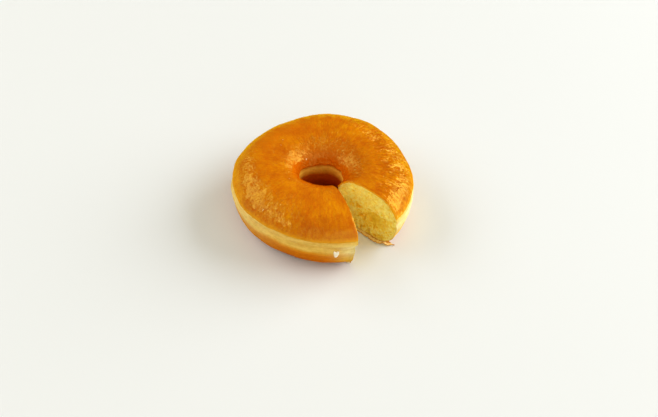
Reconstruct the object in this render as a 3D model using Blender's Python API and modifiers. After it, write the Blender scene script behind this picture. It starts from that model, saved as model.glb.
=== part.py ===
"""A glazed ring doughnut with a narrow wedge missing, as one solid resting on its flat underside.

Metres, +Z up. The ring is a section turned about its own axis, made uneven as a risen dough ring is,
cut by a wedge, and moved so that the foot of its bounding box is centred on the origin.
"""

import math

import bmesh
import bpy
from mathutils import Matrix, Vector

MM = 0.001

# The ring's section, measured from the ring's axis and from the underside.
CREST_RADIUS = 29.5 * MM
CREST_HEIGHT = 33.5 * MM
WAIST_RADIUS = 51.0 * MM
WAIST_HEIGHT = 16.0 * MM
HOLE_RADIUS = 11.3 * MM
HOLE_WAIST_HEIGHT = 18.0 * MM
CAP_EDGE_HEIGHT = 22.5 * MM
BELT_FOOT_HEIGHT = 12.0 * MM
CREASE_DROP = 2.0 * MM
CREASE_DEPTH = 1.35 * MM
SHOULDER_DROP = 1.5 * MM
SHOULDER_DEPTH = 0.45 * MM
UNDERSIDE_CLIP = 0.7 * MM

# How square the section's arcs are: an ellipse has the first value, and more is squarer.
ELLIPSE = 2.0
TOP_SQUARENESS = 2.4
BELLY_SQUARENESS = 2.7
HOLE_SQUARENESS = 4.2

# How the hole strays from a circle.
HOLE_SHIFT = -1.3 * MM
HOLE_STRETCH = 1.5 * MM

# Swells of the ring: azimuth and spread in degrees, then how far it goes outwards and up.
SWELLS = (
    (70.0, 32.0, 2.8 * MM, 1.6 * MM),
    (130.0, 26.0, -1.4 * MM, 0.0 * MM),
    (180.0, 20.0, 0.6 * MM, 0.0 * MM),
    (-120.0, 26.0, -1.2 * MM, 0.0 * MM),
    (-58.0, 22.0, 1.3 * MM, 0.0 * MM),
)

# The missing wedge, as azimuths of its two faces about the ring's axis.
RIGHT_FACE = -36.0
LEFT_FACE_TOP = -66.0
LEFT_FACE_FOOT = -67.8
LEFT_STEP_HEIGHT = 19.5 * MM
STEP_SOFTNESS = 1.5 * MM

# The bottom crust that the cut left behind in front of the right face, which ends in a torn tip.
# Its outer edge leaves the face at the root, stands clear of it, then bends back to the tip.
LIP_ROOT_AZIMUTH = -34.5
LIP_AZIMUTH = -40.5
LIP_THICKNESS = 1.0 * MM
LIP_ROOT_RADIUS = 20.0 * MM
LIP_CLEAR_RADIUS = 28.0 * MM
LIP_BEND_RADIUS = 37.0 * MM
LIP_TIP_RADIUS = 50.3 * MM
LIP_TIP_AZIMUTH = -33.0
LIP_BEND_POWER = 2.2
LIP_HOLD_RADIUS = 36.0 * MM
LIP_HOLD_AZIMUTH = -30.0
LIP_POINTS = 14

RING_STEPS = 86
SHARP_ANGLE = 35.0
ARC_POINTS = 11
FOOT_POINTS = 9
CUTTER_LEVELS = 12
CLEAR = 5.0 * MM


def clear_scene():
    for obj in list(bpy.data.objects):
        bpy.data.objects.remove(obj)


def new_collection(name):
    collection = bpy.data.collections.new(name)
    bpy.context.scene.collection.children.link(collection)
    return collection


def crust_material():
    material = bpy.data.materials.new("golden_crust")
    material.use_nodes = True
    shader = material.node_tree.nodes["Principled BSDF"]
    shader.inputs["Base Color"].default_value = (0.62, 0.24, 0.03, 1.0)
    shader.inputs["Roughness"].default_value = 0.35
    shader.inputs["Metallic"].default_value = 0.0
    return material


def squarish_arc(centre, width, height, power, start, end, count):
    """Points of a squarish arc from one angle to another, where 0 is outwards and 90 is up."""
    points = []
    for i in range(count):
        angle = math.radians(start + (end - start) * i / count)
        across, up = math.cos(angle), math.sin(angle)
        r = centre[0] + math.copysign(abs(across) ** (ELLIPSE / power), across) * width
        z = centre[1] + math.copysign(abs(up) ** (ELLIPSE / power), up) * height
        points.append((r, max(z, 0.0)))
    return points


def angle_at(rise, power):
    """The angle at which a squarish arc reaches this share of its height."""
    up = rise ** (power / ELLIPSE)
    return math.degrees(math.asin(up))


def section_outline():
    """The closed outline of the dough, outwards and up from the belt round to the belly."""
    dome = CREST_HEIGHT - WAIST_HEIGHT
    rim = angle_at((CAP_EDGE_HEIGHT - WAIST_HEIGHT) / dome, TOP_SQUARENESS)
    width = WAIST_RADIUS - CREST_RADIUS
    outer_centre = (CREST_RADIUS, WAIST_HEIGHT)
    points = squarish_arc(
        outer_centre, width, dome, TOP_SQUARENESS, rim, 90.0, ARC_POINTS
    )
    inner_centre = (CREST_RADIUS, HOLE_WAIST_HEIGHT)
    inner_width = CREST_RADIUS - HOLE_RADIUS
    inner_dome = CREST_HEIGHT - HOLE_WAIST_HEIGHT
    points += squarish_arc(
        inner_centre, inner_width, inner_dome, TOP_SQUARENESS, 90.0, 180.0, ARC_POINTS
    )
    inner_drop = HOLE_WAIST_HEIGHT + UNDERSIDE_CLIP
    points += squarish_arc(
        inner_centre, inner_width, inner_drop, HOLE_SQUARENESS, 180.0, 270.0, FOOT_POINTS
    )
    drop = WAIST_HEIGHT + UNDERSIDE_CLIP
    foot = angle_at((WAIST_HEIGHT - BELT_FOOT_HEIGHT) / drop, BELLY_SQUARENESS)
    points += squarish_arc(
        outer_centre, width, drop, BELLY_SQUARENESS, 270.0, 360.0 - foot, FOOT_POINTS
    )
    return points + belt_outline()


def belt_outline():
    """The pale belt between belly and cap: a bulge, then a crease under the cap's edge."""
    crease_height = CAP_EDGE_HEIGHT - CREASE_DROP
    return [
        (WAIST_RADIUS, (BELT_FOOT_HEIGHT + WAIST_HEIGHT) / 2),
        (WAIST_RADIUS, WAIST_HEIGHT),
        (WAIST_RADIUS - SHOULDER_DEPTH, crease_height - SHOULDER_DROP),
        (WAIST_RADIUS - CREASE_DEPTH, crease_height),
    ]


def turned_ring(material, collection):
    """The section turned full circle by a Screw modifier, as one closed mesh."""
    outline = section_outline()
    mesh = bpy.data.meshes.new("section")
    edges = [(i, (i + 1) % len(outline)) for i in range(len(outline))]
    mesh.from_pydata([(r, 0.0, z) for r, z in outline], edges, [])
    profile = bpy.data.objects.new("section", mesh)
    collection.objects.link(profile)
    screw = profile.modifiers.new("turn", "SCREW")
    screw.steps = RING_STEPS
    screw.render_steps = RING_STEPS
    screw.use_merge_vertices = True
    screw.merge_threshold = 0.00001
    bpy.context.view_layer.update()
    evaluated = profile.evaluated_get(bpy.context.evaluated_depsgraph_get())
    ring = bpy.data.objects.new("doughnut", bpy.data.meshes.new_from_object(evaluated))
    collection.objects.link(ring)
    bpy.data.objects.remove(profile)
    ring.data.materials.clear()
    ring.data.materials.append(material)
    face_outwards(ring.data)
    return ring


def face_outwards(mesh):
    bm = bmesh.new()
    bm.from_mesh(mesh)
    bmesh.ops.recalc_face_normals(bm, faces=bm.faces)
    bm.to_mesh(mesh)
    bm.free()


def swell_at(azimuth):
    """How far out and up the ring swells at this azimuth, in degrees."""
    out = up = 0.0
    for centre, spread, outwards, rise in SWELLS:
        away = (azimuth - centre + 180.0) % 360.0 - 180.0
        share = math.exp(-((away / spread) ** 2))
        out += outwards * share
        up += rise * share
    return out, up


def make_uneven(mesh):
    """Lets the dough swell in places and stretches its hole."""
    for vertex in mesh.vertices:
        x, y, z = vertex.co
        r = math.hypot(x, y)
        angle = math.atan2(y, x)
        out, up = swell_at(math.degrees(angle))
        outer = min(max((r - CREST_RADIUS) / (WAIST_RADIUS - CREST_RADIUS), 0.0), 1.0)
        inner = min(max((CREST_RADIUS - r) / (CREST_RADIUS - HOLE_RADIUS), 0.0), 1.0)
        r += out * outer + HOLE_STRETCH * math.cos(2 * angle) * inner
        vertex.co = Vector((
            r * math.cos(angle) + HOLE_SHIFT * inner,
            r * math.sin(angle),
            z * (1.0 + up / CREST_HEIGHT),
        ))


def left_face_azimuth(z):
    """The left face stands forward above the step and back below it."""
    share = 0.5 + 0.5 * math.tanh((z - LEFT_STEP_HEIGHT) / STEP_SOFTNESS)
    return LEFT_FACE_FOOT + (LEFT_FACE_TOP - LEFT_FACE_FOOT) * share


def helper(name, mesh, collection):
    """A cutter or an added shape, which is no part of the object itself."""
    obj = bpy.data.objects.new(name, mesh)
    collection.objects.link(obj)
    obj.hide_render = True
    obj.display_type = "WIRE"
    return obj


def at(radius, azimuth):
    """The place at this distance and azimuth, in degrees, from the ring's axis."""
    angle = math.radians(azimuth)
    return (radius * math.cos(angle), radius * math.sin(angle))


def wedge_cutter(collection):
    """A three-cornered prism about the ring's axis, whose left face turns a little with height."""
    bm = bmesh.new()
    reach = WAIST_RADIUS + 4 * CLEAR
    levels = []
    for i in range(CUTTER_LEVELS + 1):
        z = (CREST_HEIGHT + 2 * CLEAR) * i / CUTTER_LEVELS - CLEAR
        corners = [(0.0, 0.0), at(reach, left_face_azimuth(z)), at(reach, RIGHT_FACE)]
        levels.append([bm.verts.new((x, y, z)) for x, y in corners])
    for low, high in zip(levels, levels[1:]):
        for i in range(3):
            j = (i + 1) % 3
            bm.faces.new((low[i], low[j], high[j], high[i]))
    bm.faces.new(reversed(levels[0]))
    bm.faces.new(levels[-1])
    mesh = bpy.data.meshes.new("wedge")
    bm.to_mesh(mesh)
    bm.free()
    return helper("wedge", mesh, collection)


def lip_edge_azimuth(radius):
    """Where the lip's outer edge runs at this distance from the ring's axis."""
    leave = (radius - LIP_ROOT_RADIUS) / (LIP_CLEAR_RADIUS - LIP_ROOT_RADIUS)
    azimuth = LIP_ROOT_AZIMUTH + (LIP_AZIMUTH - LIP_ROOT_AZIMUTH) * min(leave, 1.0)
    bend = (radius - LIP_BEND_RADIUS) / (LIP_TIP_RADIUS - LIP_BEND_RADIUS)
    return azimuth + (LIP_TIP_AZIMUTH - LIP_AZIMUTH) * max(bend, 0.0) ** LIP_BEND_POWER


def lip(collection):
    """The thin bottom crust in front of the right face, as a flat plate held by the ring's foot."""
    outline = [at(LIP_HOLD_RADIUS, LIP_HOLD_AZIMUTH), at(LIP_ROOT_RADIUS, LIP_HOLD_AZIMUTH)]
    for i in range(LIP_POINTS + 1):
        radius = LIP_ROOT_RADIUS + (LIP_TIP_RADIUS - LIP_ROOT_RADIUS) * i / LIP_POINTS
        outline.append(at(radius, lip_edge_azimuth(radius)))
    bm = bmesh.new()
    face = bm.faces.new([bm.verts.new((x, y, 0.0)) for x, y in outline])
    raised = bmesh.ops.extrude_face_region(bm, geom=[face])["geom"]
    moved = [v for v in raised if isinstance(v, bmesh.types.BMVert)]
    bmesh.ops.translate(bm, verts=moved, vec=(0.0, 0.0, LIP_THICKNESS))
    bmesh.ops.recalc_face_normals(bm, faces=bm.faces)
    mesh = bpy.data.meshes.new("lip")
    bm.to_mesh(mesh)
    bm.free()
    return helper("lip", mesh, collection)


def combine(ring, other, operation):
    modifier = ring.modifiers.new(other.name, "BOOLEAN")
    modifier.operation = operation
    modifier.solver = "EXACT"
    modifier.object = other


def centre_on_origin(ring):
    """Applies the cuts, and puts the middle of the box's foot on the origin."""
    bpy.context.view_layer.update()
    evaluated = ring.evaluated_get(bpy.context.evaluated_depsgraph_get())
    mesh = bpy.data.meshes.new_from_object(evaluated)
    ring.modifiers.clear()
    ring.data = mesh
    low = [min(v.co[k] for v in mesh.vertices) for k in range(3)]
    high = [max(v.co[k] for v in mesh.vertices) for k in range(3)]
    foot = Vector(((low[0] + high[0]) / 2, (low[1] + high[1]) / 2, low[2]))
    mesh.transform(Matrix.Translation(-foot))
    mesh.shade_smooth()
    mesh.set_sharp_from_angle(angle=math.radians(SHARP_ANGLE))
    print("ring axis stands at", tuple(round(-c, 5) for c in foot))


def main():
    clear_scene()
    parts = new_collection("doughnut")
    cutters = new_collection("cutters")
    ring = turned_ring(crust_material(), parts)
    make_uneven(ring.data)
    combine(ring, wedge_cutter(cutters), "DIFFERENCE")
    combine(ring, lip(cutters), "UNION")
    centre_on_origin(ring)


main()
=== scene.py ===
"""A glazed ring doughnut with a narrow wedge gone: fried dough, glaze, open crumb and torn crust."""

import functools
import math
import random

import bmesh
import bpy
from mathutils import Matrix, Vector, noise
from mathutils.kdtree import KDTree


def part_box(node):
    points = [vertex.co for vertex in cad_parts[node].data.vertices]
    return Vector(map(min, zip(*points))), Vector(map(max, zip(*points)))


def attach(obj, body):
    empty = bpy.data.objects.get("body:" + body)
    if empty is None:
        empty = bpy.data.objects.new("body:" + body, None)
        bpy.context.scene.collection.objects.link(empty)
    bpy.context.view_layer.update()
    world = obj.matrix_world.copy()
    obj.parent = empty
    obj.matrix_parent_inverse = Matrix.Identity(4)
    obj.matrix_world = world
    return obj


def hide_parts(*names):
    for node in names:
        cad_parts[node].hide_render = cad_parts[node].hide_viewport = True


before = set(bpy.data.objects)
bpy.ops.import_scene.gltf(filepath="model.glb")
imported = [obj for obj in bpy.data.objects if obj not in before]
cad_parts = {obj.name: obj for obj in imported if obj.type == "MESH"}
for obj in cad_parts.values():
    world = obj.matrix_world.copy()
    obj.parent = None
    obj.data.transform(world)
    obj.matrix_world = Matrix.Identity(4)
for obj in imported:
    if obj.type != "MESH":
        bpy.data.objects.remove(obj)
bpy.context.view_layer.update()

MM = 0.001
# Degrees in a radian, by which a small length across the ring's radius turns into an azimuth.
DEGREES = 57.3
RANDOM_SEED = 11
# Noise vectors start from the clock unless they are seeded, and the crumb is made with them.
noise.seed_set(RANDOM_SEED)

# The ring's axis stands a little off the middle of the CAD box.
ring_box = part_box("doughnut")
AXIS = (ring_box[0] + ring_box[1]) / 2 + Vector((0.27 * MM, -1.02 * MM, 0.0))
GROUND = ring_box[0].z
AXIS_FOOT = Vector((AXIS.x, AXIS.y, GROUND))

# The dough's section, from the ring's axis and from the ground, in millimetres.
CREST_RADIUS, CREST_HEIGHT = 29.5, 33.1
WAIST_RADIUS, WAIST_HEIGHT = 50.9, 16.0
HOLE_RADIUS, HOLE_WAIST_HEIGHT = 11.3, 18.0
UNDERSIDE_CLIP = 0.7
TOP_SQUARENESS, BELLY_SQUARENESS, HOLE_SQUARENESS = 2.4, 2.7, 4.2
HOLE_SHIFT, HOLE_STRETCH = -1.3, 1.5
ARC_POINTS = 400

# Swellings of the ring: azimuth and spread in degrees, and how far each one goes out and up.
SWELLS = (
    (70.0, 32.0, 2.8, 1.6),
    (130.0, 26.0, -1.4, 0.0),
    (180.0, 20.0, 0.6, 0.0),
    (-120.0, 26.0, -1.2, 0.0),
    (-58.0, 22.0, 1.3, 0.0),
)
# Ridges and creases, outside and in the hole: height, spread and how far each one stands out.
BELT_RIDGES = (
    (21.2, 0.9, 0.35),
    (19.0, 0.9, -0.70),
    (16.2, 2.4, 0.40),
    (11.4, 1.5, -0.25),
)
HOLE_RIDGES = (
    (20.9, 0.6, -0.45),
    (18.0, 2.2, 0.30),
    (13.2, 1.4, -0.30),
)

# How far in from the crest the hole's ridges reach their full size, and the lumps of the skin, as size
# and height.
HOLE_RIDGE_FADE = 12.0
LUMPS = ((13.0, 0.55), (4.5, 0.16))

# Zones round the ring are given as azimuth and spread, in degrees, and strength. A zone at the right
# side is given twice, a full turn apart. The crease under the glaze, as height and spread, is filled
# up in these ones.
CREASE = (19.0, 0.95)
CREASE_FILL = 0.6
CREASE_FILLED_AT = ((-10.0, 50.0, 1.0), (350.0, 50.0, 1.0))
# Where the side is painted paler, as painted light: at the right where the key lamp falls, at the left
# facing the window, and as a painted glow at the front corner by the left cut. Also where the side's
# bands of colour lie lower or higher, in millimetres.
PAINTED_LIGHT_AT = ((-5.0, 44.0, 1.0), (355.0, 44.0, 1.0), (205.0, 32.0, 0.35), (292.0, 10.0, 0.60))
BANDS_DIP_AT = ((205.0, 24.0, 0.9), (245.0, 22.0, -1.0))

# The cut faces, in degrees round the axis. The left one steps back below a height.
RIGHT_FACE, LEFT_FACE = -36.0, 294.0
AROUND = LEFT_FACE - RIGHT_FACE
GAP_MIDDLE = (RIGHT_FACE + LEFT_FACE - 360.0) / 2
LEFT_TUCK, LEFT_TUCK_START = -1.9, 0.955
LEFT_STEP_HEIGHT, LEFT_STEP_SPREAD = 19.5, 1.3

# The glaze reaches down to these heights on the outside and in the hole, and hangs lower in one zone.
GLAZE_EDGE_HEIGHT = 22.8
GLAZE_HOLE_HEIGHT = 21.9
GLAZE_HANGS_AT = (215.0, 32.0, 1.5)
# Where it is cracked, pebbled and browned, and where the paleness of its rim fades.
CRACKED_AT = ((15.0, 55.0, 1.4), (238.0, 30.0, 0.55))
PEBBLED_AT = (205.0, 65.0, 0.70)
BROWNED_AT = (145.0, 38.0, 0.6)
RIM_FADES_AT = (115.0, 45.0, 1.4)
# Its thickness, the width of its rounded edge, and how deep its underside and its rim lie in the dough.
GLAZE_THICKNESS = 0.55
GLAZE_ROUNDING = 0.55
GLAZE_SINK = 0.5
GLAZE_BURY = 0.12
GLAZE_RIM_WIDTH = 2.8
CUT_DROOP = 0.2
# The share of the glaze's section that is its top side.
GLAZE_TOP = 0.88

# The rim of dough round a cut face, the depth of the pocket behind it, and how far the cut wavers.
RIM = 0.14
POCKET = 1.8
CUT_WAVER = 0.22

# The middle and radius of the circle that is spun into a ring, before its points are placed.
RING_MIDDLE = (30.0, 16.0)
SPIN_RADIUS = 15.0
# Millimetres of the flow map for each degree round the axis.
FLOW_SCALE = 0.75

# Larger holes in the right cut, as radius, height, half width, half height and depth.
CAVITIES = (
    (35.3, 13.6, 1.5, 2.1, 1.5),
    (27.8, 11.8, 1.6, 1.3, 1.3),
    (30.2, 13.6, 0.9, 0.8, 0.8),
    (25.6, 17.4, 2.0, 1.2, 0.7),
    (20.9, 26.2, 1.1, 0.9, 0.6),
    (30.4, 4.4, 1.5, 0.7, 1.0),
    (33.6, 2.7, 1.3, 0.9, 1.5),
    (37.6, 2.0, 1.7, 0.9, 1.5),
    (40.8, 3.4, 0.9, 0.7, 0.9),
    (43.6, 1.9, 0.9, 0.7, 0.8),
    (38.5, 9.3, 1.2, 0.9, 0.7),
)
DEEPEST_HOLE = -1.35


# ---------------------------------------------------------------- section and surface


def squarish_arc(centre, width, height, power, start, end):
    """Part of an oval, from one angle to another, that is the squarer the higher its power is."""
    points = []
    for i in range(ARC_POINTS):
        angle = math.radians(start + (end - start) * i / ARC_POINTS)
        across, up = math.cos(angle), math.sin(angle)
        r = centre[0] + math.copysign(abs(across) ** (2 / power), across) * width
        z = centre[1] + math.copysign(abs(up) ** (2 / power), up) * height
        points.append((r, z))
    return points


def bell(x, middle, spread):
    """1 at the middle, falling off to both sides."""
    return math.exp(-(((x - middle) / spread) ** 2))


def zone(azimuth, middle, spread, strength):
    return strength * bell(azimuth, middle, spread)


def strongest(azimuth, zones):
    return max(zone(azimuth, *at) for at in zones)


def belted(r, z):
    """Pushes the outline out or in where the belt's ridges and creases run."""
    if r > CREST_RADIUS:
        return r + sum(out * bell(z, height, spread) for height, spread, out in BELT_RIDGES)
    inner = min((CREST_RADIUS - r) / HOLE_RIDGE_FADE, 1.0)
    return r - inner * sum(out * bell(z, height, spread) for height, spread, out in HOLE_RIDGES)


def outline():
    """The dough's section, from the waist up over the crest, down the hole and back underneath."""
    outer = (CREST_RADIUS, WAIST_HEIGHT)
    inner = (CREST_RADIUS, HOLE_WAIST_HEIGHT)
    width, hole_width = WAIST_RADIUS - CREST_RADIUS, CREST_RADIUS - HOLE_RADIUS
    dome, hole_dome = CREST_HEIGHT - WAIST_HEIGHT, CREST_HEIGHT - HOLE_WAIST_HEIGHT
    drop, hole_drop = WAIST_HEIGHT + UNDERSIDE_CLIP, HOLE_WAIST_HEIGHT + UNDERSIDE_CLIP
    points = squarish_arc(outer, width, dome, TOP_SQUARENESS, 0, 90)
    points += squarish_arc(inner, hole_width, hole_dome, TOP_SQUARENESS, 90, 180)
    points += squarish_arc(inner, hole_width, hole_drop, HOLE_SQUARENESS, 180, 270)
    points += squarish_arc(outer, width, drop, BELLY_SQUARENESS, 270, 360)
    return [(belted(r, z), max(z, 0.0)) for r, z in points]


class Section:
    """The outline walked at even steps, with its outward direction at each step."""

    STEPS = 1500
    # How many steps to each side of a place its outward direction is taken over.
    REACH = 6

    def __init__(self):
        points = outline()
        points.append(points[0])
        walked = [0.0]
        for (r0, z0), (r1, z1) in zip(points, points[1:]):
            walked.append(walked[-1] + math.hypot(r1 - r0, z1 - z0))
        self.length = walked[-1]
        self.places = []
        k = 0
        for i in range(self.STEPS):
            target = self.length * i / self.STEPS
            while walked[k + 1] < target:
                k += 1
            gap = walked[k + 1] - walked[k]
            share = (target - walked[k]) / gap if gap else 0.0
            (r0, z0), (r1, z1) = points[k], points[k + 1]
            self.places.append((r0 + (r1 - r0) * share, z0 + (z1 - z0) * share))
        self.outward = []
        for i in range(self.STEPS):
            r0, z0 = self.places[i - self.REACH]
            r1, z1 = self.places[(i + self.REACH) % self.STEPS]
            gap = math.hypot(r1 - r0, z1 - z0)
            self.outward.append(((z1 - z0) / gap, -(r1 - r0) / gap))

    def at(self, share):
        """(radius, height, outward radius, outward height) at this share of the way round."""
        x = (share % 1.0) * self.STEPS
        i, f = int(x) % self.STEPS, x - int(x)
        j = (i + 1) % self.STEPS
        (r0, z0), (r1, z1) = self.places[i], self.places[j]
        (a0, b0), (a1, b1) = self.outward[i], self.outward[j]
        return r0 + (r1 - r0) * f, z0 + (z1 - z0) * f, a0 + (a1 - a0) * f, b0 + (b1 - b0) * f

    def share_at_height(self, height, outside):
        """Where the wall reaches this height, on the outside or in the hole, above the waist."""
        half = range(0, self.STEPS // 2)
        fits = [i for i in half if (self.places[i][0] > CREST_RADIUS) == outside]
        return min(fits, key=lambda i: abs(self.places[i][1] - height)) / self.STEPS


SECTION = Section()


@functools.cache
def swell_at(azimuth):
    """How far the ring swells out and up at an azimuth, in millimetres."""
    out = up = 0.0
    for centre, spread, outwards, rise in SWELLS:
        away = (azimuth - centre + 180.0) % 360.0 - 180.0
        share = bell(away, 0.0, spread)
        out += outwards * share
        up += rise * share
    return out, up


def smooth(x, low, high):
    """0 at low and 1 at high, easing from one to the other between them."""
    t = min(max((x - low) / (high - low), 0.0), 1.0)
    return t * t * (3 - 2 * t)


def polar(r, azimuth, z):
    """A place from its radius, its degrees round the axis, and its height."""
    angle = math.radians(azimuth)
    return Vector((r * math.cos(angle), r * math.sin(angle), z))


def azimuth_of(turn):
    """Degrees round the axis, where turn goes from 0 at the right face to 1 at the left one."""
    return RIGHT_FACE + AROUND * turn


def cut_waver(r, z, turn):
    """How many degrees a cut face wavers to the side at this place on it."""
    waver = noise.noise(Vector((r / 4.2, z / 4.2, 31.0)))
    waver += 0.5 * noise.noise(Vector((r / 1.6, z / 1.6, 35.0)))
    return CUT_WAVER * DEGREES / r * waver * max(smooth(turn, 0.01, 0.0), smooth(turn, 0.99, 1.0))


def on_dough(share, turn, lift=0.0):
    """A place on the dough, in millimetres from the ring's foot: share goes round the section and
    turn goes from 0 at the right face to 1 at the left one. lift is how far it stands off the dough."""
    r, z, out_r, out_z = SECTION.at(share)
    azimuth = azimuth_of(turn)
    tuck = LEFT_TUCK * (0.5 - 0.5 * math.tanh((z - LEFT_STEP_HEIGHT) / LEFT_STEP_SPREAD))
    azimuth += tuck * smooth(turn, LEFT_TUCK_START, 1.0)
    azimuth += cut_waver(r, z, turn)
    angle = math.radians(azimuth)
    out, up = swell_at(round(azimuth, 3))
    out += CREASE_FILL * bell(z, *CREASE) * strongest(azimuth, CREASE_FILLED_AT)
    outer = min(max((r - CREST_RADIUS) / (WAIST_RADIUS - CREST_RADIUS), 0.0), 1.0)
    inner = min(max((CREST_RADIUS - r) / (CREST_RADIUS - HOLE_RADIUS), 0.0), 1.0)
    spot = polar(r, azimuth, z)
    lumps = sum(height * noise.noise(spot / size) for size, height in LUMPS)
    lift += smooth(z, 0.0, 6.0) * lumps
    r += lift * out_r
    z += lift * out_z
    r += out * outer + HOLE_STRETCH * math.cos(2 * angle) * inner
    place = polar(r, azimuth, z)
    place.x += HOLE_SHIFT * inner
    place.z = max(place.z * (1.0 + up / CREST_HEIGHT), 0.0)
    return place


def in_frame(place):
    """Millimetres from the ring's foot, as a place in the frame."""
    return AXIS_FOOT + place * MM


def measured(point):
    """(radius, azimuth, height) of a place in the frame, in millimetres and degrees."""
    spot = (point - AXIS_FOOT) / MM
    return math.hypot(spot.x, spot.y), math.degrees(math.atan2(spot.y, spot.x)), spot.z


# ---------------------------------------------------------------- modelling by hand


def deselect():
    if bpy.context.object and bpy.context.object.mode != "OBJECT":
        bpy.ops.object.mode_set(mode="OBJECT")
    bpy.ops.object.select_all(action="DESELECT")


def edit(piece, mode="VERT"):
    """Opens a piece in edit mode with nothing selected."""
    deselect()
    bpy.context.view_layer.objects.active = piece
    piece.select_set(True)
    bpy.ops.object.mode_set(mode="EDIT")
    bpy.ops.mesh.select_mode(type=mode)
    bpy.ops.mesh.select_all(action="DESELECT")


def named(piece, name):
    """The piece, with this name on it and on its mesh."""
    piece.name = piece.data.name = name
    return piece


def done(piece):
    """Leaves edit mode and puts the piece's place in its mesh."""
    bpy.ops.object.mode_set(mode="OBJECT")
    piece.data.transform(piece.matrix_basis)
    piece.matrix_basis = Matrix.Identity(4)
    piece.data.update()


def standing_circle(name, points, radius, middle, azimuth):
    """A circle stood up across the ring at an azimuth, with its middle at a radius and a height."""
    deselect()
    bpy.ops.mesh.primitive_circle_add(
        vertices=points,
        radius=radius * MM,
        location=in_frame(polar(middle[0], azimuth, middle[1])),
        rotation=(math.pi / 2, 0.0, math.radians(azimuth)),
    )
    return named(bpy.context.object, name)


def spin_round(steps, degrees):
    """Spins all of the piece that is being edited round the ring's axis."""
    bpy.ops.mesh.select_all(action="SELECT")
    bpy.ops.mesh.spin(
        steps=steps, angle=math.radians(degrees), center=AXIS_FOOT, axis=(0.0, 0.0, 1.0)
    )


# The ring is spun in long steps, and each is then split, which is quicker than many short ones.
RING_SPLIT = 4
# A vertex this near to an end of the ring, as a share of the way round, counts as on the end.
TURN_SLACK = 1e-4


def new_ring(name, points, steps):
    """A circle stood up in the right face and spun round the axis to the left one."""
    ring = standing_circle(name, points, SPIN_RADIUS, RING_MIDDLE, RIGHT_FACE)
    edit(ring, "EDGE")
    spin_round(steps // RING_SPLIT, -AROUND)
    bpy.ops.mesh.select_all(action="DESELECT")
    bm = bmesh.from_edit_mesh(ring.data)
    for edge in bm.edges:
        # The ends of an edge that runs round the ring are turned apart, as seen from the axis.
        first, second = (ring.matrix_world @ v.co - AXIS_FOOT for v in edge.verts)
        turned = abs(first.x * second.y - first.y * second.x)
        edge.select_set(turned > (0.5 * MM) ** 2)
    bmesh.update_edit_mesh(ring.data)
    bpy.ops.mesh.subdivide(number_cuts=RING_SPLIT - 1)
    done(ring)
    return ring


def ring_place(point):
    """(share round the section, turn round the axis, distance from the section's middle) of a
    vertex of a newly spun ring."""
    r, azimuth, z = measured(point)
    across, rise = r - RING_MIDDLE[0], z - RING_MIDDLE[1]
    if azimuth < GAP_MIDDLE:
        azimuth += 360.0
    turn = (azimuth - RIGHT_FACE) / AROUND
    if min(turn, 1.0 - turn) < TURN_SLACK:
        turn = float(round(turn))
    share = (math.atan2(rise, across) / (2 * math.pi)) % 1.0
    return share, turn, math.hypot(across, rise)


def write_flow(piece, flow):
    """A UV map of millimetres round the axis and along the section."""
    layer = piece.data.uv_layers.new(name="flow")
    layer.data.foreach_set("uv", [x for loop in piece.data.loops for x in flow[loop.vertex_index]])


def write_value(piece, name, values):
    """An attribute with one value for each vertex, which a material reads."""
    made = piece.data.attributes.new(name, "FLOAT", "POINT")
    made.data.foreach_set("value", values)


SMOOTH_ANGLE = 50.0


def shade(piece, material):
    """Gives a piece its one material and a smooth skin, with its sharp edges kept."""
    piece.data.materials.clear()
    piece.data.materials.append(material)
    deselect()
    bpy.context.view_layer.objects.active = piece
    piece.select_set(True)
    bpy.ops.object.shade_smooth_by_angle(angle=math.radians(SMOOTH_ANGLE))


def keep(piece, material):
    """Gives a finished piece its looks, and a place on the part."""
    shade(piece, material)
    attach(piece, "root")
    return piece


# ---------------------------------------------------------------- pieces


def select_end(ring, at_left):
    """Selects the open end loop of a ring, whose edges border one face each."""
    bpy.ops.mesh.select_all(action="DESELECT")
    bm = bmesh.from_edit_mesh(ring.data)
    for edge in bm.edges:
        if edge.is_boundary:
            azimuth = measured((edge.verts[0].co + edge.verts[1].co) / 2)[1]
            edge.select_set((azimuth < GAP_MIDDLE) == at_left)
    bm.select_flush(True)
    bmesh.update_edit_mesh(ring.data)


def inward(at_left):
    """The level direction square to a cut face, back into the dough."""
    angle = math.radians(LEFT_FACE if at_left else RIGHT_FACE)
    side = Vector((-math.sin(angle), math.cos(angle), 0.0))
    return -side if at_left else side


def close_end(ring, at_left, pocket=0.0):
    """Fills one end of a newly spun ring. A pocket is set back from the end, inside a narrow rim."""
    edit(ring, "EDGE")
    select_end(ring, at_left)
    bpy.ops.mesh.edge_face_add()
    if pocket:
        bpy.ops.mesh.select_mode(type="FACE")
        bpy.ops.mesh.inset(thickness=0.5 * MM, depth=0.0)
        back = inward(at_left) * pocket * MM
        bpy.ops.mesh.extrude_region_move(TRANSFORM_OT_translate={"value": back})
    done(ring)


def behind_face(point, at_left):
    """How far a point lies behind a cut face, in millimetres."""
    return (point - AXIS_FOOT).dot(inward(at_left)) / MM


def face_outwards(piece):
    edit(piece)
    bpy.ops.mesh.select_all(action="SELECT")
    bpy.ops.mesh.normals_make_consistent(inside=False)
    done(piece)


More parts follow.
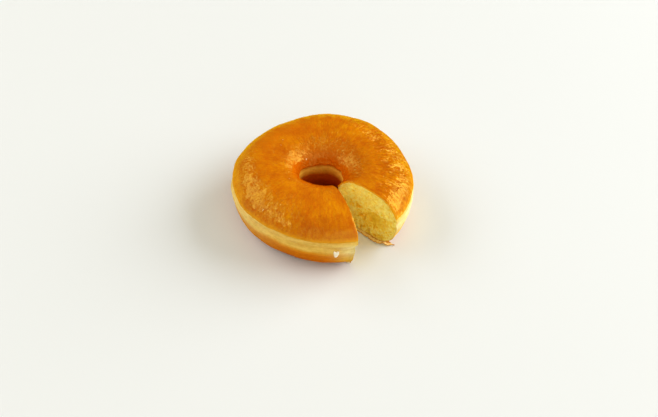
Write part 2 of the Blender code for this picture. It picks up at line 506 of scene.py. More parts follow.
def dough():
    """The ring of fried dough, with a shallow pocket in each end for the crumb."""
    ring = new_ring("dough", points=300, steps=300)
    for at_left in (False, True):
        close_end(ring, at_left, POCKET)
    heights, inside, pale, flow = [], [], [], []
    for vertex in ring.data.vertices:
        share, turn, away = ring_place(vertex.co)
        if away > SPIN_RADIUS - 0.2:
            vertex.co = in_frame(on_dough(share, turn))
        else:
            # A vertex inside the circle belongs to a pocket, and keeps its depth in it.
            at_left = turn > 0.5
            depth = behind_face(vertex.co, at_left)
            vertex.co = in_frame(on_dough(share, round(turn), -RIM)) + inward(at_left) * depth * MM
        r, z = SECTION.at(share)[:2]
        azimuth = azimuth_of(turn)
        heights.append(z + sum(zone(azimuth, *dip) for dip in BANDS_DIP_AT))
        inside.append(smooth(r, 24.0, 17.0))
        # Painted light: how much paler the side is painted where the lamps fall on it, and at a painted
        # glow by the front corner.
        pale.append(strongest(azimuth, PAINTED_LIGHT_AT))
        flow.append((turn * AROUND * FLOW_SCALE, share * SECTION.length))
    write_flow(ring, flow)
    write_value(ring, "height", heights)
    write_value(ring, "inside", inside)
    write_value(ring, "pale", pale)
    face_outwards(ring)
    return ring


GLAZE_START = SECTION.share_at_height(GLAZE_EDGE_HEIGHT, True)
GLAZE_END = SECTION.share_at_height(GLAZE_HOLE_HEIGHT, False)


def wrinkle(around, along, drawn):
    """The glaze's dried wrinkles, in millimetres: fine ridges that run down the slope."""
    warp = noise.noise(Vector((around / 7.0, along / 7.0, 3.0)))
    bent = around + 1.3 * warp
    ridge = 1.0 - abs(noise.noise(Vector((bent / 1.5, along / 6.5, 0.5))))
    coarse = 1.0 - abs(noise.noise(Vector((bent / 3.4, along / 7.5, 4.5))))
    cross = 1.0 - abs(noise.noise(Vector((around / 4.4, along / 2.1 + warp, 7.5))))
    patch = 0.55 + 0.45 * noise.noise(Vector((around / 10.0, along / 8.0, 11.5)))
    dents = noise.noise(Vector((around / 5.0, along / 6.0, 17.5)))
    fine = 0.13 * ridge ** 4 * drawn + 0.08 * cross ** 4
    return patch * fine + 0.10 * coarse ** 4 * drawn + 0.16 * dents


def glaze_edges(azimuth):
    """Where the glaze ends on the side and in the hole, as shares of the way round the section."""
    sway = polar(3.4, azimuth, 0.0)
    outer = GLAZE_START + 0.55 * noise.noise(sway * 1.6) / SECTION.length
    outer -= zone(azimuth, *GLAZE_HANGS_AT) / SECTION.length
    outer += 0.25 * noise.noise(sway * 7.0 + Vector((0, 0, 5))) / SECTION.length
    inner = GLAZE_END + 0.9 * noise.noise(sway + Vector((0, 0, 9))) / SECTION.length
    return outer, inner


def glaze_lift(near, around, along, r, at_cut):
    """How far the glaze's top stands off the dough, near being the distance from its edge."""
    body = math.sqrt(max(1 - (1 - min(near / GLAZE_ROUNDING, 1)) ** 2, 0.0))
    bead = 0.22 * bell(near, 0.9, 0.7)
    lift = body * (GLAZE_THICKNESS + bead) - (1 - body) * GLAZE_BURY
    lift += smooth(near, 0.5, 3.0) * wrinkle(around, along, smooth(r, 13.0, 34.0))
    return lift - CUT_DROOP * body if at_cut else lift


def glaze_finish(azimuth, around, along, r):
    """How browned, cracked and pebbled the glaze is, and how many millimetres its pale rim fades by."""
    browned = zone(azimuth, *BROWNED_AT) * smooth(r, 26.0, 36.0)
    inside = max(smooth(CREST_RADIUS - r, 6.0, 17.0), browned)
    wander = 0.18 * noise.noise(Vector((around / 12.0, along / 9.0, 21.5)))
    shoulder = smooth(r, 24.0, 38.0)
    hollow = smooth(r, 28.0, 20.0)
    cracks = sum(zone(azimuth, *at) for at in CRACKED_AT)
    cracked = (0.12 + cracks * shoulder + 0.6 * wander) * smooth(r, 14.0, 32.0)
    cracked += 0.40 * hollow * smooth(r, 13.0, 18.0)
    pebbled = 0.25 + zone(azimuth, *PEBBLED_AT) * shoulder + 1.1 * hollow + wander
    fade = 4.0 * smooth(r, 30.0, 24.0) + zone(azimuth, *RIM_FADES_AT)
    return inside, cracked, pebbled, fade


def glaze():
    """The shell of sugar glaze over the crown, closed and with a thickness of its own."""
    ring = new_ring("glaze", points=220, steps=440)
    for at_left in (False, True):
        close_end(ring, at_left)
    flow = []
    values = {"from_edge": [], "inside": [], "cracked": [], "pebbled": []}
    for vertex in ring.data.vertices:
        way, turn = ring_place(vertex.co)[:2]
        azimuth = azimuth_of(turn)
        at_cut = turn in (0.0, 1.0)
        outer, inner = glaze_edges(azimuth)
        on_top = way <= GLAZE_TOP
        across = way / GLAZE_TOP if on_top else (1 - way) / (1 - GLAZE_TOP)
        share = outer + (inner - outer) * across
        near = min(across, 1 - across) * (inner - outer) * SECTION.length
        around, along = azimuth * FLOW_SCALE, share * SECTION.length
        r = SECTION.at(share)[0]
        if on_top:
            lift = glaze_lift(near, around, along, r, at_cut)
        else:
            lift = -GLAZE_SINK * smooth(near, 0.0, 1.5) - GLAZE_BURY
        vertex.co = in_frame(on_dough(share, turn, lift))
        flow.append((around, along))
        inside, cracked, pebbled, fade = glaze_finish(azimuth, around, along, r)
        values["from_edge"].append(0.0 if at_cut else near + fade)
        values["inside"].append(inside)
        values["cracked"].append(cracked)
        values["pebbled"].append(pebbled)
    write_flow(ring, flow)
    for name, column in values.items():
        write_value(ring, name, column)
    face_outwards(ring)
    return ring


def pits(spot, size, depth, share):
    """Rounded cells sunk into the crumb: spot in millimetres, and share is how many cells open."""
    distances, points = noise.voronoi(spot / size)
    if noise.cell(points[0] * 7.3) >= share:
        return 0.0
    from_wall = distances[1] - distances[0]
    return depth * smooth(from_wall, 0.02, 0.62)


def cavities(spot):
    """The depth of the larger holes at a spot, with their edges made ragged."""
    ragged = spot + 0.7 * noise.noise_vector(spot / 1.2)
    sunk = 0.0
    for hole_r, hole_z, width, height, depth in CAVITIES:
        away = math.hypot((ragged.x - hole_r) / width, (ragged.y - hole_z) / height)
        sunk += depth * smooth(away, 1.25, 0.35)
    return sunk


def under_arch(spot):
    """1 in the sunken part below the arch across the right cut, and 0 outside it."""
    r, z = spot.x, spot.y
    arch = 18.6 - ((r - 37.0) / 6.5) ** 2 + 0.6 * noise.noise(spot / 1.5)
    return smooth(z, arch + 0.4, arch - 0.9) * smooth(z, 5.0, 13.0) * bell(r, 37.0, 7.0)


def crumb_relief(r, z, at_left):
    """How far the crumb stands out of the cut, in millimetres, and how deep its hollows are, which is
    also their painted shade.
    """
    spot = Vector((r, z, 40.0 if at_left else 0.0))
    bent = spot + 0.5 * noise.noise_vector(spot / 1.7) + 0.9 * noise.noise_vector(spot / 5.0)
    low = smooth(z, 24.0, 14.0) * bell(r, 33.0, 13.0)
    fine = 0.75 + 0.25 * low
    hollow = fine * pits(bent, 1.3, 0.34, 0.6)
    hollow += fine * pits(bent + Vector((9, 3, 0)), 0.8, 0.22, 0.7)
    hollow += 0.7 * low * pits(bent + Vector((2, 8, 0)), 2.7, 0.9, 0.45)
    swell = noise.noise(spot / 5.0 + Vector((3, 1, 0)))
    relief = (0.55 + 0.35 * low) * swell + 0.45 * noise.noise(spot / 2.1)
    # Low parts of the relief count a little as hollows, so they too are painted darker, as painted
    # shade.
    hollow += 0.25 * smooth(relief, 0.0, -0.6)
    if not at_left:
        under = under_arch(spot)
        # The larger holes and the sunken part under the arch deepen the hollows, and so are painted
        # darker too, as painted shade.
        hollow += cavities(spot) + 0.35 * under
        relief += 0.55 * bell(r, 31.0, 2.2) * bell(z, 9.6, 2.2) - 0.75 * under
    standing = relief - hollow
    # Past the deepest that the pocket leaves room for, the floor of a hole is nearly flat.
    return max(standing, DEEPEST_HOLE) + 0.1 * min(standing - DEEPEST_HOLE, 0.0), hollow


def nearest_finder(points):
    """Finds the nearest of these points to a place."""
    tree = KDTree(len(points))
    for i, point in enumerate(points):
        tree.insert(point, i)
    tree.balance()
    return tree


def border_finder(piece):
    """Finds the nearest place on a piece's open border."""
    bm = bmesh.new()
    bm.from_mesh(piece.data)
    border = [v.co.copy() for v in bm.verts if v.is_boundary]
    bm.free()
    return nearest_finder(border)


def filled_cut(name, turn):
    """A filled sheet as large as a cut face, just inside the dough's rim, in a fine grid."""
    points = 240
    sheet = standing_circle(name, points, SPIN_RADIUS, RING_MIDDLE, azimuth_of(turn))
    done(sheet)
    for vertex in sheet.data.vertices:
        share = ring_place(vertex.co)[0]
        vertex.co = in_frame(on_dough(share, turn, -RIM + 0.03))
    edit(sheet, "EDGE")
    bpy.ops.mesh.select_all(action="SELECT")
    bpy.ops.mesh.fill_grid(span=points // 4, use_interp_simple=True)
    bpy.ops.mesh.select_all(action="SELECT")
    bpy.ops.mesh.subdivide(number_cuts=2)
    done(sheet)
    return sheet


def give_skirt(piece, way, depth, middle):
    """Pulls the open border back into the dough, draws it in a little, and closes it."""
    edit(piece, "EDGE")
    bm = bmesh.from_edit_mesh(piece.data)
    for edge in bm.edges:
        edge.select_set(edge.is_boundary)
    bmesh.update_edit_mesh(piece.data)
    bpy.ops.mesh.extrude_edges_move(TRANSFORM_OT_translate={"value": way * depth * MM})
    bpy.ops.transform.resize(value=(0.96, 0.96, 0.96), center_override=middle)
    bpy.ops.mesh.edge_face_add()
    done(piece)


def crumb(name, at_left):
    """The crumb of one cut face, which stands out of the dough's pocket."""
    turn = 1.0 if at_left else 0.0
    face = filled_cut(name, turn)
    border = border_finder(face)
    into_gap = -inward(at_left)
    hollows, from_edge = [], []
    for vertex in face.data.vertices:
        r, _, z = measured(vertex.co)
        near = border.find(vertex.co)[2] / MM
        relief, hollow = crumb_relief(r, z, at_left)
        open_share = smooth(near, 0.1, 1.3)
        bulge = 0.25 * smooth(near, 0.0, 6.0)
        vertex.co += into_gap * (relief * open_share + bulge - 0.05) * MM
        # Painted shade: the depth of each hollow, which the crumb's material paints darker.
        hollows.append(hollow * open_share)
        from_edge.append(near)
    write_value(face, "hollow", hollows)
    write_value(face, "from_edge", from_edge)
    middle = in_frame(polar(RING_MIDDLE[0], azimuth_of(turn), RING_MIDDLE[1]))
    give_skirt(face, -into_gap, POCKET - 0.3, middle)
    face_outwards(face)
    return face


def torn_crust(name, root, tip, thickness, base_azimuth, edge_azimuth, tip_azimuth):
    """A thin tongue of bottom crust on the ground by a cut face, from its root to its tip."""
    size = 20.0 * MM
    deselect()
    bpy.ops.mesh.primitive_grid_add(x_subdivisions=110, y_subdivisions=22, size=size)
    tongue = named(bpy.context.object, name)
    reach = min(5.0, 0.3 * (tip - root))
    inner = []
    for vertex in tongue.data.vertices:
        along = vertex.co.x / size + 0.5
        across = vertex.co.y / size + 0.5
        r = root + (tip - root) * along
        leave = smooth(along, 0.0, 0.28)
        bend = max((along - 0.55) / 0.45, 0.0) ** 2.2
        edge = base_azimuth + (edge_azimuth - base_azimuth) * leave
        edge += (tip_azimuth - edge_azimuth) * bend
        ragged = 0.55 * noise.noise(Vector((r / 2.3, 2.0, root)))
        ragged += 0.35 * noise.noise(Vector((r / 0.8, 5.0, root)))
        edge += ragged * DEGREES / r * leave * (1.0 + 0.8 * bell(along, 0.8, 0.2))
        back = base_azimuth + math.copysign(reach, base_azimuth - edge_azimuth)
        back += (tip_azimuth - back) * smooth(along, 0.72, 1.0)
        wave = 0.5 + 0.5 * noise.noise(Vector((r / 3.0, across * 1.5, root)))
        curl = smooth(across, 0.45, 1.0) * (0.15 + 0.75 * wave) * smooth(along, 0.05, 0.3)
        curl += 0.9 * bell(along, 0.86, 0.12) * wave
        z = thickness * 0.5 + 0.05 + curl
        vertex.co = in_frame(polar(r, back + (edge - back) * across, z))
        inner.append((1.0 - across) * abs(edge - back) * r / DEGREES)
    done(tongue)
    write_value(tongue, "from_edge", inner)
    thicken(tongue, thickness)
    face_outwards(tongue)
    return tongue


def thicken(piece, thickness):
    """Gives a sheet a thickness, in millimetres, half to each side."""
    solid = piece.modifiers.new("thick", "SOLIDIFY")
    solid.thickness = thickness * MM
    solid.offset = 0.0
    deselect()
    bpy.context.view_layer.objects.active = piece
    piece.select_set(True)
    bpy.ops.object.modifier_apply(modifier="thick")


def surface_at(share, azimuth, lift):
    """A place on the ring, with the outward direction there."""
    turn = ((azimuth - RIGHT_FACE) % 360.0) / AROUND
    place = in_frame(on_dough(share, turn, lift))
    out_r, out_z = SECTION.at(share)[2:]
    return place, polar(out_r, azimuth, out_z).normalized()


# The flake's outline as shares of its half size, anticlockwise from a notch at its top.
FLAKE_OUTLINE = (0.55, 1.15, 0.98, 0.78, 0.85, 1.05, 0.95, 0.75, 0.65, 0.82, 1.15, 0.95)
FLAKE_HEIGHT, FLAKE_AZIMUTH = 16.4, -79.0


def sugar_flake(name, outline_radii, share, azimuth, lift, size, thickness, lean):
    """A chip of dried icing: a filled circle pulled out of round, thickened, and set on the ring."""
    place, outward = surface_at(share, azimuth, lift)
    uphill = (Vector((0.0, 0.0, 1.0)) - outward * outward.z).normalized()
    turned = Matrix((uphill.cross(outward), uphill, outward)).transposed().to_4x4()
    turned = turned @ Matrix.Rotation(lean, 4, "Z")
    width, height = size
    smaller = min(width, height) * MM
    deselect()
    bpy.ops.mesh.primitive_circle_add(vertices=len(outline_radii), radius=1.0, fill_type="NGON")
    flake = named(bpy.context.object, name)
    for vertex, out in zip(flake.data.vertices, outline_radii):
        vertex.co.x *= out * width / 2 * MM
        vertex.co.y *= out * height / 2 * MM
    edit(flake, "FACE")
    bpy.ops.mesh.select_all(action="SELECT")
    bpy.ops.mesh.extrude_region_move(TRANSFORM_OT_translate={"value": (0.0, 0.0, thickness * MM)})
    bpy.ops.mesh.inset(thickness=0.10 * smaller)
    bpy.ops.transform.translate(value=(0.0, 0.0, 0.22 * thickness * MM))
    bpy.ops.mesh.select_all(action="SELECT")
    bpy.ops.mesh.bevel(offset=0.04 * smaller, segments=2)
    done(flake)
    flake.data.transform(Matrix.Translation(place) @ turned)
    face_outwards(flake)
    return flake


def joined(pieces, name):
    """Several pieces made one."""
    deselect()
    for piece in pieces:
        piece.select_set(True)
    bpy.context.view_layer.objects.active = pieces[0]
    bpy.ops.object.join()
    return named(pieces[0], name)


SCATTERED_SPECKS = 5


def icing_specks():
    """Grains of dried icing: one on the left shoulder, one in the hole, and a few scattered ones."""
    pick = random.Random(RANDOM_SEED)
    shoulder = SECTION.share_at_height(28.0, True)
    hollow = SECTION.share_at_height(26.8, False)
    # Share of the way round the section, azimuth, width and length.
    spots = [(shoulder, -130.9, 0.65, 2.3), (hollow, 136.5, 0.8, 0.9)]
    for _ in range(SCATTERED_SPECKS):
        share, azimuth = pick.uniform(0.12, 0.42), pick.uniform(-30.0, 285.0)
        width, length = pick.uniform(0.2, 0.4), pick.uniform(0.3, 0.7)
        spots.append((share, azimuth, width, length))
    specks = []
    for i, (share, azimuth, width, length) in enumerate(spots):
        radii = [pick.uniform(0.7, 1.1) for _ in range(7)]
        specks.append(sugar_flake(
            f"speck_{i}", radii, share, azimuth,
            lift=GLAZE_THICKNESS - 0.1, size=(width, length), thickness=0.2,
            lean=pick.uniform(-0.3, 0.1),
        ))
    return joined(specks, "icing_specks")


# The bead's middle, as radius and height, its radius, and the azimuths of its two ends.
BEAD_MIDDLE = (43.2, 0.8)
BEAD_RADIUS = 0.55
BEAD_START, BEAD_END = -104.0, -80.0


def foot_bead():
    """A thin bead of glaze that ran down and set along the foot, at the front."""
    bead = standing_circle("foot_bead", 14, BEAD_RADIUS, BEAD_MIDDLE, BEAD_END)
    edit(bead)
    spin_round(90, BEAD_END - BEAD_START)
    bpy.ops.mesh.select_all(action="SELECT")
    bpy.ops.mesh.region_to_loop()
    bpy.ops.mesh.edge_face_add()
    done(bead)
    for vertex in bead.data.vertices:
        r, azimuth, z = measured(vertex.co)
        away = (azimuth - BEAD_START) / (BEAD_END - BEAD_START)
        swell = math.sqrt(max(4 * away * (1 - away), 0.01))
        swell *= 0.75 + 0.5 * noise.noise(Vector((azimuth / 2.2, 0.0, 1.0)))
        out = swell_at(azimuth)[0] + 0.5 * noise.noise(Vector((azimuth / 4.0, 3.0, 1.0)))
        r = BEAD_MIDDLE[0] + out + (r - BEAD_MIDDLE[0]) * swell
        z = max(BEAD_MIDDLE[1] + (z - BEAD_MIDDLE[1]) * swell * 1.2, 0.02)
        vertex.co = in_frame(polar(r, azimuth, z))
    bead.data.update()
    face_outwards(bead)
    return bead


# ---------------------------------------------------------------- materials


BLACK, WHITE = (0.0, 0.0, 0.0), (1.0, 1.0, 1.0)


def grey(value):
    return (value, value, value)


class Net:
    """The nodes of one material, or of the world, with a short way to add each kind."""

    def __init__(self, tree):
        self.nodes, self.links = tree.nodes, tree.links

    def feed(self, socket, value):
        """Gives a socket a number or a colour of its own, or joins another node's output to it."""
        if isinstance(value, (int, float)):
            socket.default_value = value
        elif isinstance(value, tuple):
            socket.default_value = (*value, 1.0) if socket.type == "RGBA" else value
        else:
            self.links.new(value, socket)

    def add(self, kind, inputs=None, **settings):
        made = self.nodes.new(kind)
        for name, value in settings.items():
            setattr(made, name, value)
        for name, value in (inputs or {}).items():
            self.feed(made.inputs[name], value)
        return made

    def place(self):
        return self.add("ShaderNodeTexCoord").outputs["Object"]

    def flow(self):
        """Millimetres round the axis and along the section."""
        return self.add("ShaderNodeUVMap", uv_map="flow").outputs["UV"]

    def attribute(self, name):
        return self.add("ShaderNodeAttribute", attribute_name=name).outputs["Fac"]

    def scaled(self, vector, scale):
        return self.add("ShaderNodeMapping", {"Vector": vector, "Scale": scale}).outputs["Vector"]

    def ramp(self, factor, stops):
        """The colour that a factor picks from (position, colour) stops."""
        made = self.add("ShaderNodeValToRGB")
        elements = made.color_ramp.elements
        while len(elements) < len(stops):
            elements.new(0.5)
        for element, (position, colour) in zip(elements, stops):
            element.position = position
            element.color = (*colour, 1.0)
        self.links.new(factor, made.inputs[0])
        return made.outputs[0]

    def mix(self, factor, first, second, blend="MIX"):
        """Two colours mixed. A colour mix takes its factor at socket 0 and them at 6 and 7."""
        made = self.add("ShaderNodeMix", data_type="RGBA", blend_type=blend)
        for index, value in ((0, factor), (6, first), (7, second)):
            self.feed(made.inputs[index], value)
        return made.outputs[2]

    def tint(self, colour, share, pattern, stops):
        """A colour multiplied, to this share, by the tone that a pattern picks from the stops."""
        return self.mix(share, colour, self.ramp(pattern, stops), "MULTIPLY")

    def maths(self, operation, *values):
        made = self.add("ShaderNodeMath", operation=operation)
        for socket, value in zip(made.inputs, values):
            self.feed(socket, value)
        return made.outputs[0]

    def vectors(self, operation, *values):
        made = self.add("ShaderNodeVectorMath", operation=operation)
        for socket, value in zip(made.inputs, values):
            self.feed(socket, value)
        return made.outputs["Value" if operation == "DOT_PRODUCT" else "Vector"]

    def noise(self, vector, scale, detail=3.0, roughness=0.6, distortion=0.0):
        """Cloudy noise, with scale in clouds a metre, or a millimetre where the flow map is read."""
        return self.add("ShaderNodeTexNoise", {
            "Vector": vector,
            "Scale": scale,
            "Detail": detail,
            "Roughness": roughness,
            "Distortion": distortion,
        }).outputs["Fac"]

    def bump(self, height, depth, strength=1.0, under=None):
        """Relief of this depth, in millimetres, on top of the relief under it."""
        made = self.add(
            "ShaderNodeBump", {"Height": height, "Distance": depth * MM, "Strength": strength}
        )
        if under is not None:
            self.links.new(under, made.inputs["Normal"])
        return made.outputs["Normal"]

    def finish(self, sockets):
        """Feeds the sockets of the material's own shader."""
        for name, value in sockets.items():
            self.feed(self.nodes["Principled BSDF"].inputs[name], value)


def new_material(name):
    material = bpy.data.materials.new(name)
    material.use_nodes = True
    return material, Net(material.node_tree)


def crackle(net, wandering):
    """Fine cracks between cells: 0 along a crack and 1 inside a cell."""
    cells = net.add(
        "ShaderNodeTexVoronoi", {"Vector": wandering, "Scale": 0.55}, feature="DISTANCE_TO_EDGE"
    )
    return net.ramp(cells.outputs["Distance"], ((0.0, BLACK), (0.16, WHITE)))


def facets(net, wandering):
    """Heights, in millimetres, of a skin of small flat facets, each tilted its own way."""
    cells = net.add("ShaderNodeTexVoronoi", {"Vector": wandering, "Scale": 0.62})
    offset = net.vectors("SUBTRACT", wandering, cells.outputs["Position"])
    lean = net.vectors("SUBTRACT", cells.outputs["Color"], grey(0.5))
    lean = net.vectors("MULTIPLY", lean, (0.34, 0.8, 0.0))
    return net.vectors("DOT_PRODUCT", offset, lean)


def glaze_colour(net, place, streaks, cracks, cracked):
    """Amber in soft clouds, spots, streaks and specks, browner in the hole and paler at the rim."""
    colour = net.ramp(net.noise(place, 95.0, 4.0), (
        (0.34, (0.62, 0.150, 0.0)),
        (0.50, (0.70, 0.212, 0.0)),
        (0.66, (0.79, 0.290, 0.0)),
    ))
    spots = net.noise(place, 420.0)
    colour = net.tint(colour, 0.5, spots, ((0.36, (0.94, 0.74, 0.3)), (0.60, WHITE)))
    lines = net.noise(streaks, 0.7, 4.0, 0.65)
    colour = net.tint(colour, 0.7, lines, ((0.40, (0.92, 0.66, 0.3)), (0.58, WHITE)))
    specks = net.noise(place, 1300.0, 2.0)
    colour = net.tint(colour, 0.6, specks, ((0.36, (0.90, 0.72, 0.4)), (0.52, WHITE)))
    crack_tone = net.mix(cracks, (0.90, 0.62, 0.3), WHITE)
    crack_share = net.maths("MULTIPLY", cracked, 0.75)
    colour = net.mix(crack_share, colour, crack_tone, "MULTIPLY")
    colour = net.mix(net.attribute("inside"), colour, (0.64, 0.122, 0.0))
    from_rim = net.maths("DIVIDE", net.attribute("from_edge"), GLAZE_RIM_WIDTH)
    rim_share = net.ramp(from_rim, ((0.0, grey(0.9)), (0.35, grey(0.5)), (1.0, BLACK)))
    return net.mix(rim_share, colour, (0.88, 0.40, 0.03))


def glaze_roughness(net, place, streaks):
    """Shiny, with duller patches that are partly drawn out down the slope."""
    patches = net.noise(place, 300.0, 5.0, 0.65, 0.5)
    drawn_patches = net.noise(streaks, 0.45, 5.0, 0.65, 0.5)
    return net.add("ShaderNodeMapRange", {
        "Value": net.maths("ADD", patches, drawn_patches),
        "From Min": 0.97,
        "From Max": 1.05,
        "To Min": 0.06,
        "To Max": 0.15,
    }).outputs["Result"]


def glaze_skin(net, place, streaks, wandering, cracks, cracked):
    """Fine streaks, cracks, tilted facets, pebbles and small sunk spots, one on top of another."""
    skin = net.bump(net.noise(streaks, 1.0, 1.0, 0.4, 0.4), 0.03)
    skin = net.bump(net.maths("MULTIPLY", cracks, cracked), 0.09, under=skin)
    tilts = net.maths("MULTIPLY", facets(net, wandering), cracked)
    skin = net.bump(tilts, 1.3, under=skin)
    pebbled = net.attribute("pebbled")
    pebbles = net.maths("MULTIPLY", net.noise(place, 430.0, 1.0, 0.4), pebbled)
    skin = net.bump(pebbles, 0.18, under=skin)
    sunk = net.ramp(net.noise(place, 800.0, 1.0, 0.5), ((0.36, BLACK), (0.48, WHITE)))
    return net.bump(net.maths("MULTIPLY", sunk, pebbled), 0.10, under=skin)


def glaze_material():
    material, net = new_material("sugar_glaze")
    place, flow = net.place(), net.flow()
    streaks = net.scaled(flow, (1.0, 0.36, 1.0))
    shift = net.add("ShaderNodeTexNoise", {"Vector": flow, "Scale": 0.4}).outputs["Color"]
    wandering = net.vectors("ADD", streaks, shift)
    cracks, cracked = crackle(net, wandering), net.attribute("cracked")
    skin = glaze_skin(net, place, streaks, wandering, cracks, cracked)
    net.finish({
        "Base Color": glaze_colour(net, place, streaks, cracks, cracked),
        "Roughness": glaze_roughness(net, place, streaks),
        "Specular IOR Level": 0.85,
        "Specular Tint": (1.0, 0.98, 0.5),
        # The coat bends no light of its own: it is there to warm what shines through it.
        "Coat Weight": 1.0,
        "Coat IOR": 1.0,
        "Coat Roughness": 0.3,
        "Coat Tint": (1.0, 0.97, 0.38),
        "Normal": skin,
        "Coat Normal": skin,
    })
    return material


# Bands of colour up the side of the dough, each at its height in millimetres: the browned side, which
# is also painted darker towards the foot as painted shade by the ground, the wall of the hole, darker
# towards the bottom, and the side painted paler, as painted light, where the lamps fall on it.
BROWN_AND_SHADE_BANDS = (
    # Painted shade: the lowest bands are darker where the side meets the ground.
    (0.0, (0.28, 0.070, 0.000)),
    (3.0, (0.46, 0.105, 0.000)),
    (8.5, (0.64, 0.150, 0.000)),
    (12.0, (0.71, 0.195, 0.000)),
    (13.4, (0.77, 0.245, 0.003)),
    (14.8, (0.84, 0.370, 0.020)),
    (16.6, (0.91, 0.590, 0.115)),
    (18.0, (0.91, 0.600, 0.130)),
    (18.9, (0.83, 0.490, 0.085)),
    (20.2, (0.90, 0.600, 0.140)),
    (21.6, (0.91, 0.610, 0.145)),
    (23.2, (0.86, 0.480, 0.050)),
    (25.0, (0.70, 0.230, 0.005)),
)
HOLE_BANDS = (
    (0.0, (0.24, 0.025, 0.000)),
    (11.0, (0.46, 0.050, 0.000)),
    (14.5, (0.62, 0.110, 0.001)),
    (17.2, (0.84, 0.380, 0.032)),
    (20.0, (0.90, 0.470, 0.055)),
    (21.8, (0.68, 0.200, 0.004)),
)
# Painted light: the side's bands as they are painted where the lamps fall on it, paler and creamier.
PAINTED_LIGHT_BANDS = (
    (0.0, (0.42, 0.140, 0.006)),
    (4.0, (0.88, 0.380, 0.008)),
    (8.0, (0.95, 0.600, 0.045)),
    (12.0, (0.97, 0.800, 0.220)),
    (15.5, (0.96, 0.850, 0.430)),
    (19.5, (0.96, 0.860, 0.450)),
    (23.0, (0.94, 0.640, 0.120)),
)
BAND_TOP = 30.0
BAND_WANDER = 4.6


def banded(net, share, bands):
    return net.ramp(share, tuple((height / BAND_TOP, colour) for height, colour in bands))


def crust_material():
    material, net = new_material("fried_crust")
    place, flow = net.place(), net.flow()
    wander = net.maths("SUBTRACT", net.noise(place, 80.0, 4.0), 0.5)
    wander = net.maths("MULTIPLY", wander, BAND_WANDER)
    height = net.maths("ADD", net.attribute("height"), wander)
    share = net.maths("DIVIDE", height, BAND_TOP)
    brown, pale = banded(net, share, BROWN_AND_SHADE_BANDS), banded(net, share, PAINTED_LIGHT_BANDS)
    # Painted light: the side is mixed towards the paler bands where the lamps fall on it.
    colour = net.mix(net.attribute("pale"), brown, pale)
    colour = net.mix(net.attribute("inside"), colour, banded(net, share, HOLE_BANDS))
    specks = net.noise(place, 520.0)
    colour = net.tint(colour, 0.45, specks, ((0.36, (0.80, 0.72, 0.60)), (0.60, WHITE)))
    strands = net.noise(net.scaled(flow, (0.10, 1.0, 1.0)), 1.1, 4.0, distortion=0.3)
    colour = net.tint(colour, 0.7, strands, ((0.36, (0.84, 0.74, 0.50)), (0.58, WHITE)))
    skin = net.bump(net.noise(place, 260.0, 4.0, distortion=0.6), 0.5, 0.5)
    skin = net.bump(net.noise(place, 900.0, 4.0), 0.15, 0.5, skin)
    skin = net.bump(strands, 0.4, 0.5, skin)
    net.finish({
        "Base Color": colour,
        "Roughness": 0.6,
        "Specular IOR Level": 0.02,
        "Specular Tint": (1.0, 0.80, 0.30),
        "Subsurface Weight": 0.12,
        "Subsurface Radius": (0.9, 0.45, 0.15),
        "Subsurface Scale": 2.0 * MM,
        "Normal": skin,
    })
    return material


def crumb_material():
    """Butter yellow, painted deeper and darker in the hollows as painted shade, and browned next to the
    crust.
    """
    material, net = new_material("open_crumb")
    place = net.place()
    # Painted shade: the deeper the hollow, the darker and more orange the crumb is painted.
    colour = net.ramp(net.attribute("hollow"), (
        (0.00, (1.00, 0.85, 0.250)),
        (0.14, (1.00, 0.78, 0.150)),
        (0.32, (0.99, 0.69, 0.070)),
        (0.70, (0.92, 0.53, 0.025)),
    ))
    blotch = net.noise(place, 420.0, 6.0, 0.75)
    colour = net.tint(colour, 0.75, blotch, ((0.40, (0.86, 0.70, 0.36)), (0.56, WHITE)))
    browned = net.ramp(net.attribute("from_edge"), ((0.0, grey(0.7)), (0.9, BLACK)))
    colour = net.mix(browned, colour, (0.86, 0.46, 0.05))
    cells = net.add("ShaderNodeTexVoronoi", {"Vector": place, "Scale": 1900.0})
    skin = net.bump(cells.outputs["Distance"], 0.3, 0.7)
    skin = net.bump(net.noise(place, 1500.0, 4.0, 0.65), 0.2, 0.7, skin)
    net.finish({
        "Base Color": colour,
        "Roughness": 0.75,
        "Specular IOR Level": 0.2,
        "Subsurface Weight": 0.25,
        "Subsurface Radius": (1.0, 0.6, 0.2),
        "Subsurface Scale": 2.0 * MM,
        "Normal": skin,
    })
    return material


# How far in from its rim a torn crust's colours go, in millimetres.
TORN_WIDTH = 4.0


def torn_material():
    """Crust seen from its torn side: browned at the rim, pale behind it and brown again further in."""
    material, net = new_material("torn_crust")
    place = net.place()
    rough = net.maths("MULTIPLY", net.maths("SUBTRACT", net.noise(place, 900.0), 0.5), 1.2)
    inland = net.maths("ADD", net.attribute("from_edge"), rough)
    colour = net.ramp(net.maths("DIVIDE", inland, TORN_WIDTH), (
        (0.00, (0.62, 0.25, 0.015)),
        (0.06, (0.78, 0.40, 0.040)),
        (0.13, (0.96, 0.76, 0.300)),
        (0.45, (0.93, 0.70, 0.220)),
        (0.65, (0.60, 0.25, 0.015)),
    ))
    net.finish({
        "Base Color": colour,
        "Roughness": 0.5,
        "Specular IOR Level": 0.35,
        "Normal": net.bump(net.noise(place, 1100.0, 4.0), 0.2, 0.6),
    })
    return material


def icing_material(name, deep, pale):
    """Sugar in two tones, with a fine grain and a thin shine."""
    material, net = new_material(name)
    place = net.place()
    net.finish({
        "Base Color": net.ramp(net.noise(place, 600.0), ((0.35, deep), (0.62, pale))),
        "Roughness": 0.38,
        "Coat Weight": 0.3,
        "Coat Roughness": 0.2,
        "Normal": net.bump(net.noise(place, 2200.0), 0.1, 0.6),
    })
    return material


# ---------------------------------------------------------------- assembly


body = keep(dough(), crust_material())
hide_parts("doughnut")
keep(glaze(), glaze_material())

